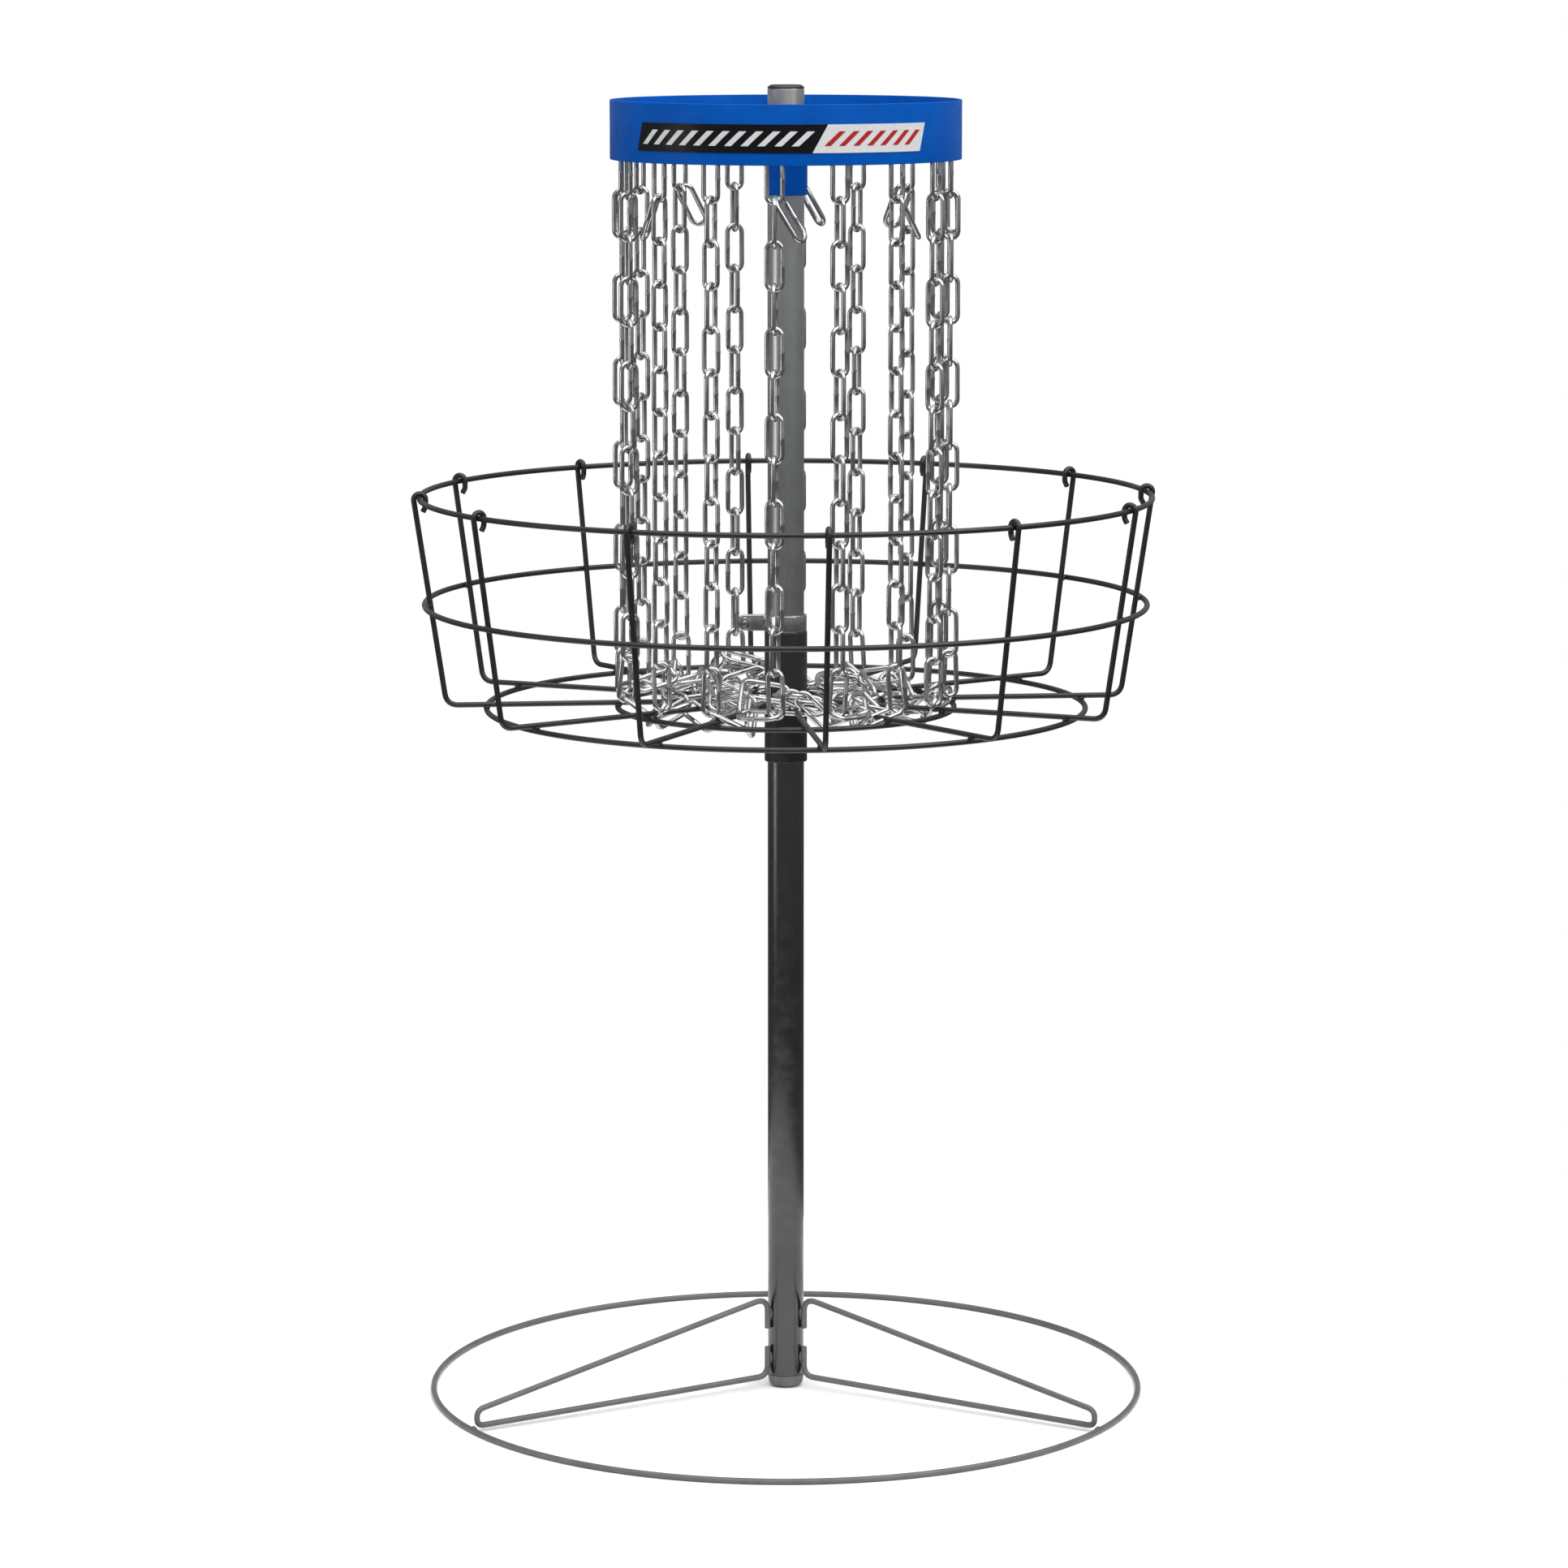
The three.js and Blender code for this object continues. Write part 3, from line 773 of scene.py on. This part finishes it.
def rod_shape(start):
    """A rack rod with a bead where each of its ends meets the hub."""
    beads = []
    for angle in (start, start + STRAND_STEP):
        beads.append(bead_shape(upright(SLEEVE_R, ROD_Z, angle), outward_at(angle), UP, ROD_BEAD))
    return merged([wire_shape(rod_path(start), WIRE), *beads])


def band_shape():
    """The rolled band, with the welded seam inside it at the back."""
    low, high = heights("top_band")
    inner, outer = reaches("top_band")
    seam_spot = upright(inner, (low + high) / 2, math.pi / 2)
    seam_size = high - low - 2 * MM, 5 * MM, 2 * MM
    seam = bead_shape(seam_spot, UP, np.array([1.0, 0.0, 0.0]), seam_size)
    return merged([tube_shape(outer, inner, low, high, BAND_EASE, steps=240), seam])


def film_patch(radius, ends, levels, slants, thickness=FILM):
    """A curved patch of film. Each end slants: its top stands that much further round than its foot."""
    rows = 5
    columns = 72
    up = np.linspace(0, 1, rows)[:, None]
    start = ends[0] + slants[0] * (up - 0.5)
    end = ends[1] + slants[1] * (up - 0.5)
    turn = start + (end - start) * np.linspace(0, 1, columns)[None, :]
    z = levels[0] + (levels[1] - levels[0]) * up + np.zeros_like(turn)
    sides = []
    for r in (radius, radius - thickness):
        sides.append(np.stack([r * np.cos(turn), r * np.sin(turn), z], axis=2).reshape(-1, 3))
    count = rows * columns
    front = grid_faces(rows, columns, False, False)
    back = [tuple(corner + count for corner in face) for face in front]
    rim = list(range(columns))
    rim += [row * columns + columns - 1 for row in range(1, rows)]
    rim += [(rows - 1) * columns + column for column in range(columns - 2, -1, -1)]
    rim += [row * columns for row in range(rows - 2, 0, -1)]
    edge = []
    for here, after in zip(rim, rim[1:] + rim[:1]):
        edge.append((here, after, after + count, here + count))
    return np.concatenate(sides), front + edge + back


def bars_shape(radius, first, last, low, high, count):
    """Slanted bars at even steps over part of the label."""
    middles = np.linspace(first, last, count + 2)[1:-1]
    half = BAR_HALF_WIDTH * (middles[1] - middles[0])
    margin = BAR_MARGIN * (high - low)
    levels = low + margin, high - margin
    slants = LABEL_SLANT, LABEL_SLANT
    return merged([film_patch(radius, (m - half, m + half), levels, slants) for m in middles])


def add_label():
    """A dark field and a pale one with a slanted join, each with slanted bars and no lettering."""
    outer = reaches("top_label")[1]
    low, high = heights("top_label")
    angles = np.arctan2(points_of("top_label")[:, 1], points_of("top_label")[:, 0])
    start = angles.min()
    end = angles.max()
    join = start + DARK_FIELD_SHARE * (end - start)
    end_slant = 0.5 * LABEL_SLANT
    field_r = outer - FIELD_DROP
    dark = film_patch(field_r, (start, join), (low, high), (end_slant, LABEL_SLANT), FIELD_FILM)
    pale = film_patch(field_r, (join, end), (low, high), (LABEL_SLANT, end_slant), FIELD_FILM)
    piece("label_dark", dark, "label_film", "top", ["top_label"])
    piece("label_pale", pale, "label_film", "top", material=LABEL_INKS["white"])
    white = bars_shape(outer, start, join, low, high, 11)
    red = bars_shape(outer, join, end, low, high, 7)
    piece("label_bar_white", white, "label_film", "top", material=LABEL_INKS["white"])
    piece("label_bar_red", red, "label_film", "top", material=LABEL_INKS["red"])


def add_top():
    hub = tube_shape(SLEEVE_R, SLEEVE_BORE_R, *heights("top_hub"), SLEEVE_EASE)
    piece("hub", hub, "blue_coat", "top", ["top_hub"])
    piece("band", band_shape(), "blue_coat", "top", ["top_band"])
    for name in names_of("rack_rod_"):
        rod = rod_shape(heading(name) - STRAND_STEP / 2)
        piece(f"wire_{name}", rod, "blue_coat", "top", [name])
    piece("set_screw", bolt_shape("hub_set_bolt"), "bright_zinc", "top", ["hub_set_bolt"])
    add_label()


# ---------------------------------------------------------------- chain

LINK_TWIST_DEGREES = 4              # the usual turn of a hanging link away from square to the last
SPARE_LEAN_DEGREES = 24, 34
TAIL_SWAY = 30, 44                  # millimetres
TAIL_TUMBLE = 0.25                  # how unevenly the loose links lie

def link_shape():
    """One link about its middle: long along Z, wide along X, with a swollen weld on one side."""
    sides = 10
    end_points = 11
    weld_reach = 0.12
    weld_swell = 1.14
    end_r = LINK_WIDTH / 2 - CHAIN_WIRE
    straight = LINK_LENGTH / 2 - CHAIN_WIRE - end_r
    path = []
    for turn in np.linspace(0, math.pi, end_points):
        path.append((end_r * math.cos(turn), 0.0, straight + end_r * math.sin(turn)))
    weld = len(path) + 1
    path.extend((-end_r, 0.0, share * straight) for share in (weld_reach, 0.0, -weld_reach))
    for turn in np.linspace(math.pi, 2 * math.pi, end_points):
        path.append((end_r * math.cos(turn), 0.0, -straight + end_r * math.sin(turn)))
    path = np.array(path)
    points, faces = wire_shape(path, CHAIN_WIRE, sides, closed=True)
    section = slice(sides * weld, sides * (weld + 1))
    points[section] = path[weld] + weld_swell * (points[section] - path[weld])
    return points, faces


def link_along(start, end, face, link):
    """A link whose ends are at two joints, turned so that its flat side looks along face."""
    along = unit(start - end)
    face = unit(face - (face @ along) * along)
    return placed(link, (start + end) / 2, np.cross(face, along), face, along)


def spare_link(angle, joint_z, link):
    """The free link beside a strand's second link, leaning along the band and turned a little outwards."""
    turned_out = 0.55
    sideways = sideways_at(angle)
    at_back = math.sin(angle) > 0.9
    on_left = math.cos(angle) < -0.5
    if at_back or on_left:
        sideways = -sideways
    lean = math.radians(rng.uniform(*SPARE_LEAN_DEGREES))
    top = upright(STRAND_R, joint_z, angle) + 2 * CHAIN_WIRE * sideways
    foot = top + LINK_PITCH * (math.sin(lean) * sideways - math.cos(lean) * UP)
    return link_along(top, foot, sideways + turned_out * outward_at(angle), link)


def hanging_links(angle, link):
    """A strand's links, each a quarter turn from the last and a little more, so that the strand twists."""
    shapes = []
    twist = 0.0
    for index in range(STRAND_LINKS):
        start = upright(STRAND_R, STRAND_FIRST_TOP - CHAIN_WIRE - index * LINK_PITCH, angle)
        if index > 0:
            twist += math.radians(rng.normal(0, LINK_TWIST_DEGREES))
        turn = twist + (math.pi / 2 if index % 2 else 0.0)
        face = math.cos(turn) * outward_at(angle) + math.sin(turn) * sideways_at(angle)
        shapes.append(link_along(start, start - LINK_PITCH * UP, face, link))
    return shapes


def add_strands():
    """Every strand, with a spare link on every other one."""
    link = link_shape()
    for index, name in enumerate(STRANDS):
        angle = heading(name)
        shapes = hanging_links(angle, link)
        if index % 2 == 0:
            shapes.append(spare_link(angle, STRAND_FIRST_TOP - CHAIN_WIRE - LINK_PITCH, link))
        piece(f"strand_{name[-2:]}", merged(shapes), "bright_zinc", name, [name])


def floor_under(points):
    """Height that loose chain can sink to: it rests on the ribs and sags between them."""
    angle = np.arctan2(points[..., 1], points[..., 0])
    radius = np.hypot(points[..., 0], points[..., 1])
    between = np.sin(len(RIBS) / 2 * (angle - RIBS[0])) ** 2
    sag_starts_r = 75 * MM
    sag_grows_over = 40 * MM
    room = np.clip((radius - sag_starts_r) / sag_grows_over, 0, 1)
    return FLOOR_Z + WIRE + 2 * CHAIN_WIRE - SAG * between * room


def first_lie(angle):
    """Joints of one tail before it settles: plumb under the strand's foot, then to and fro to the ring."""
    foot = upright(STRAND_R, STRAND_FOOT_Z, angle)
    landing = foot - LINK_PITCH * UP
    end = upright(middle_reach("chain_collector"), middle_z("chain_collector") + CHAIN_WIRE, angle)
    share = np.linspace(0, 1, TAIL_LINKS)[:, None]
    half_waves = 2.4
    fold = np.sin(half_waves * math.pi * share + rng.uniform(-0.5, 0.5)) * np.sin(math.pi * share)
    sway = rng.choice([-1, 1]) * rng.uniform(*TAIL_SWAY) * MM * fold
    line = landing + share * (end - landing) + sway * sideways_at(angle)
    return np.concatenate([[foot], line])


def keep_lengths(points, ends, rounds=8):
    """Pulls every link back to its own length, with the two ends of each tail held."""
    for _ in range(rounds):
        steps = np.diff(points, axis=1)
        lengths = np.linalg.norm(steps, axis=2, keepdims=True)
        mend = 0.5 * steps * (1 - LINK_PITCH / np.maximum(lengths, TINY))
        points[:, :-1] += mend
        points[:, 1:] -= mend
        points[:, [0, -1]] = ends


def push_apart(points, clearance):
    """Moves joints and the middles of links away from those that are too near."""
    middles = 0.5 * (points[:, 1:] + points[:, :-1])
    spots = np.concatenate([points, middles], axis=1)
    flat = spots.reshape(-1, 3)
    away = flat[:, None] - flat[None]
    distance = np.linalg.norm(away, axis=2, keepdims=True) + 1e-9
    push = np.where(distance < clearance, 0.2 * (clearance - distance) * away / distance, 0).sum(axis=1)
    push = push.reshape(spots.shape)
    joints = points.shape[1]
    points += push[:, :joints]
    points[:, 1:] += 0.5 * push[:, joints:]
    points[:, :-1] += 0.5 * push[:, joints:]


def hang_first_link(points, drift):
    """The link under a strand's foot hangs from it, its lower joint within a short way of plumb."""
    aside = points[:, 1, :2] - points[:, 0, :2]
    far = np.linalg.norm(aside, axis=1)
    kept = np.minimum(far, drift)
    points[:, 1, :2] = points[:, 0, :2] + aside * (kept / np.maximum(far, TINY))[:, None]
    points[:, 1, 2] = points[:, 0, 2] - np.sqrt(LINK_PITCH**2 - kept**2)


def settled_tails(angles):
    """Joints of the loose chain from each strand's foot to the collector ring, let down onto the floor.

    Every tail comes to rest on a layer of its own, highest at its middle, so that the tails heap up.
    """
    rounds = 160
    drop = 0.8 * MM
    least_r = SLEEVE_R + 14 * MM
    first_drift = 8 * MM
    points = np.array([first_lie(angle) for angle in angles])
    ends = points[:, [0, -1]].copy()
    middle_share = np.sin(math.pi * np.linspace(0, 1, TAIL_LINKS - 1))
    layers = rng.permutation(len(angles))[:, None] / len(angles) * HEAP * middle_share
    for _ in range(rounds):
        points[:, 1:-1, 2] -= drop
        keep_lengths(points, ends)
        push_apart(points, TAIL_CLEARANCE)
        inner = points[:, 1:-1]
        radius = np.hypot(inner[..., 0], inner[..., 1])
        inner[..., :2] *= (np.maximum(radius, least_r) / radius)[..., None]
        inner[..., 2] = np.maximum(inner[..., 2], floor_under(inner) + layers)
        hang_first_link(points, first_drift)
        keep_lengths(points, ends)
    return points


def tail_links(line, link):
    """Links along a tail's joints, each about a quarter turn from the last."""
    normals = travelling_normals(tangents_of(line, False))
    shapes = []
    for index in range(TAIL_LINKS):
        start = line[index]
        end = line[index + 1]
        face = normals[index]
        if index % 2:
            face = np.cross(unit(end - start), face)
        face = face + TAIL_TUMBLE * rng.standard_normal(3)
        shapes.append(link_along(start, end, face, link))
    return shapes


def add_tails():
    """The loose chain: one piece for each tail, left in place where it settled."""
    link = link_shape()
    angles = [heading(name) for name in STRANDS]
    for index, line in enumerate(settled_tails(angles)):
        obj = mesh_object(f"tail_{index + 1:02d}", merged(tail_links(line, link)))
        obj.data.materials.append(FINISHES["bright_zinc"])
        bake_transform(obj)
        if index == 0:
            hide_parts("chain_slack")


def add_collector():
    """The ring that gathers the inner ends of the loose chain."""
    inner, outer = reaches("chain_collector")
    line = circle((inner + outer) / 2, middle_z("chain_collector"), 96)
    ring = wire_shape(line, (outer - inner) / 2, closed=True)
    piece("collector_ring", ring, "bright_zinc", "collector", ["chain_collector"])


# ---------------------------------------------------------------- studio

ROOM_ABOVE = 0.38
ROOM_BELOW = 0.14
DARKEST_AT = -0.12                  # the height of the direction, which is 0 at the horizon
AIM = np.array([0.0, 0.0, 0.6])     # the lamps point here


def add_floor():
    """A round pale floor, more of it in front and to the left. Past its edge there is only the room."""
    floor_r = 0.82
    steps = 128
    edge = circle(floor_r, 0.0, steps, centre=(-0.2, -0.16))
    floor = mesh_object("studio_floor", (edge, [tuple(range(steps))]))
    nodes = Nodes("studio_floor")
    mottle = nodes.noise(scale=1.5, detail=2)
    nodes.tint(mottle, (0.88, 0.88, 0.88), (0.92, 0.92, 0.92))
    nodes.shader.inputs["Roughness"].default_value = 0.8
    nodes.shader.inputs["Specular IOR Level"].default_value = 0.1
    floor.data.materials.append(nodes.material)


def room_fade(tree):
    """The dim room's strength by direction: even above the horizon, fading to dark a little below it."""
    way = tree.nodes.new("ShaderNodeTexCoord")
    split = tree.nodes.new("ShaderNodeSeparateXYZ")
    fade = tree.nodes.new("ShaderNodeMapRange")
    fade.inputs["From Min"].default_value = DARKEST_AT
    fade.inputs["From Max"].default_value = 0.0
    fade.inputs["To Min"].default_value = ROOM_BELOW
    fade.inputs["To Max"].default_value = ROOM_ABOVE
    tree.links.new(way.outputs["Generated"], split.inputs["Vector"])
    tree.links.new(split.outputs["Z"], fade.inputs["Value"])
    return fade.outputs["Result"]


def add_world():
    """White where the camera sees it, and a dim room where the object reflects it."""
    world = bpy.data.worlds.new("studio")
    bpy.context.scene.world = world
    world.use_nodes = True
    tree = world.node_tree
    tree.nodes.clear()
    seen = tree.nodes.new("ShaderNodeBackground")
    seen.inputs["Color"].default_value = (1, 1, 1, 1)
    felt = tree.nodes.new("ShaderNodeBackground")
    felt.inputs["Color"].default_value = (0.95, 0.97, 1, 1)
    tree.links.new(room_fade(tree), felt.inputs["Strength"])
    rays = tree.nodes.new("ShaderNodeLightPath")
    mix = tree.nodes.new("ShaderNodeMixShader")
    output = tree.nodes.new("ShaderNodeOutputWorld")
    tree.links.new(rays.outputs["Is Camera Ray"], mix.inputs["Fac"])
    tree.links.new(felt.outputs["Background"], mix.inputs[1])
    tree.links.new(seen.outputs["Background"], mix.inputs[2])
    tree.links.new(mix.outputs["Shader"], output.inputs["Surface"])


def place_light(light, place):
    """Puts a lamp at a place and turns it, as it shines along its own -Z, towards AIM."""
    obj = bpy.data.objects.new(light.name, light)
    bpy.context.scene.collection.objects.link(obj)
    obj.location = place
    x, y, z = AIM - np.array(place)
    tip = math.atan2(math.hypot(x, y), -z)
    obj.rotation_euler = (tip, 0.0, math.atan2(-x, y))


def add_sun(name, place, strength, spread):
    light = bpy.data.lights.new(name, "SUN")
    light.energy = strength
    light.angle = spread
    place_light(light, place)


def add_panel(name, place, watts, size=0.9):
    light = bpy.data.lights.new(name, "AREA")
    light.energy = watts
    light.size = size
    place_light(light, place)


def add_lights():
    """Broad soft light from overhead, with a weak panel low on the left and another high on the right."""
    add_sun("overhead", (0.7, -1.3, 5.0), 3.9, math.radians(100))
    add_panel("low_left", (-2.8, -0.9, 0.7), 7)
    add_panel("high_right", (2.2, -1.6, 2.6), 14)


def add_camera():
    """In front of the basket, a little above its band, looking slightly down."""
    lens_mm = 122.1
    aside = 0.0008
    distance = 4.6065
    height = 1.2693
    tilt_down = math.radians(8.966)
    pan_left = math.radians(0.03)
    camera = bpy.data.cameras.new("camera")
    camera.lens = lens_mm
    camera.sensor_width = 36
    camera.clip_end = 200
    obj = bpy.data.objects.new("camera", camera)
    obj.location = (aside, -distance, height)
    obj.rotation_euler = (math.pi / 2 - tilt_down, 0, pan_left)
    bpy.context.scene.collection.objects.link(obj)
    bpy.context.scene.camera = obj


bpy.context.scene.view_settings.view_transform = "Standard"
add_camera()
add_base()
add_basket()
add_pole()
add_top()
add_strands()
add_tails()
add_collector()
add_floor()
add_world()
add_lights()
